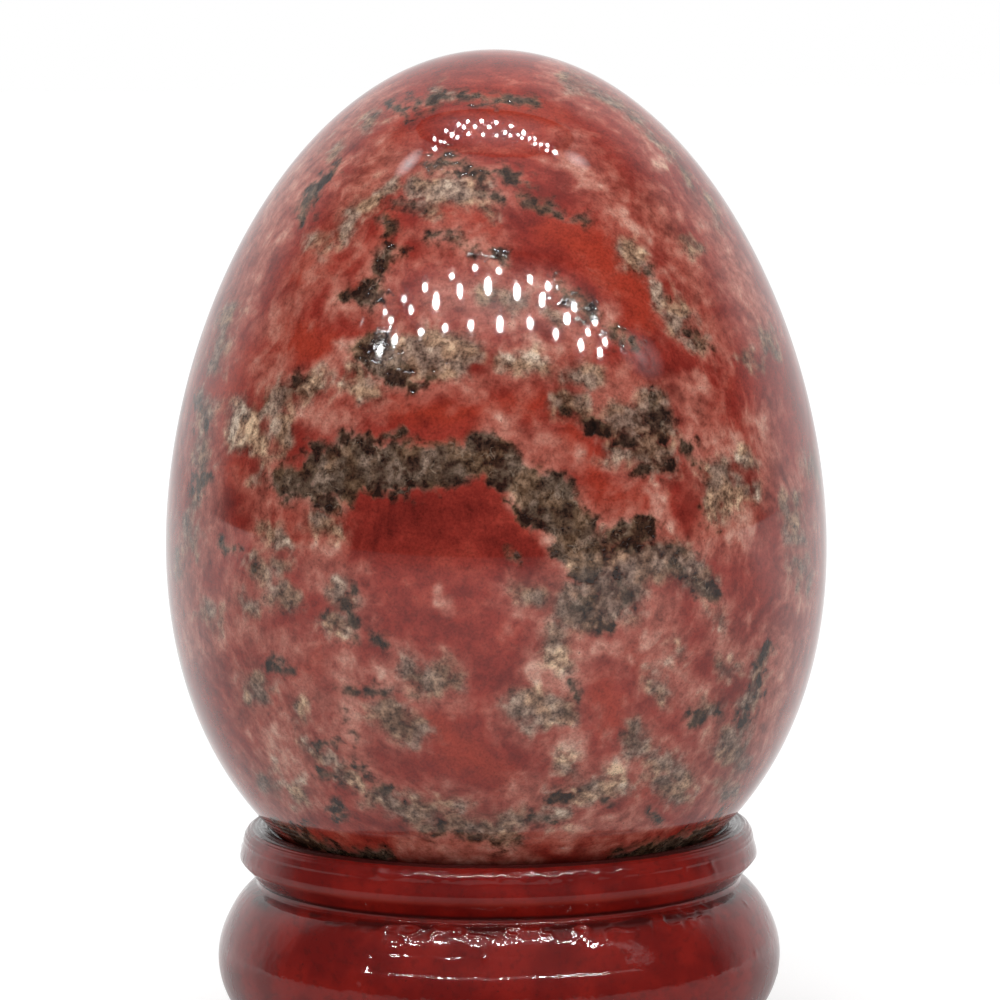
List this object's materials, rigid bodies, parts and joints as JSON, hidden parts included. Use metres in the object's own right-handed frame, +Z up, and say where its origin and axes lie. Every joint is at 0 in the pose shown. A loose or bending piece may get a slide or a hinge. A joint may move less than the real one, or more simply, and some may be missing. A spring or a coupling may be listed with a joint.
{
  "type": "stone egg on stand",
  "caption": "Polished stone egg standing blunt end down in a turned, lacquered wooden ring stand with a rounded bead; the egg lifts straight out of its seat.",
  "frame": {"origin": "centre of the stand's foot, on the surface that it stands on", "axes": "+Z up along the common axis of the stand and the egg; -Y faces the viewer of the picture, +X is to the viewer's right"},
  "size_m": [0.038, 0.038, 0.0586],
  "materials": {
    "polished_stone": "high polish",
    "lacquered_wood": "glossy dark red lacquer"
  },
  "bodies": {
    "stand": {"turned_stand": "lacquered_wood"},
    "egg": {"stone_egg": "polished_stone"}
  },
  "joints": [
    {"name": "egg_lift", "type": "slide", "parent": "stand", "child": "egg", "axis": [0, 0, 1], "range_m": [0, 0.03]}
  ]
}
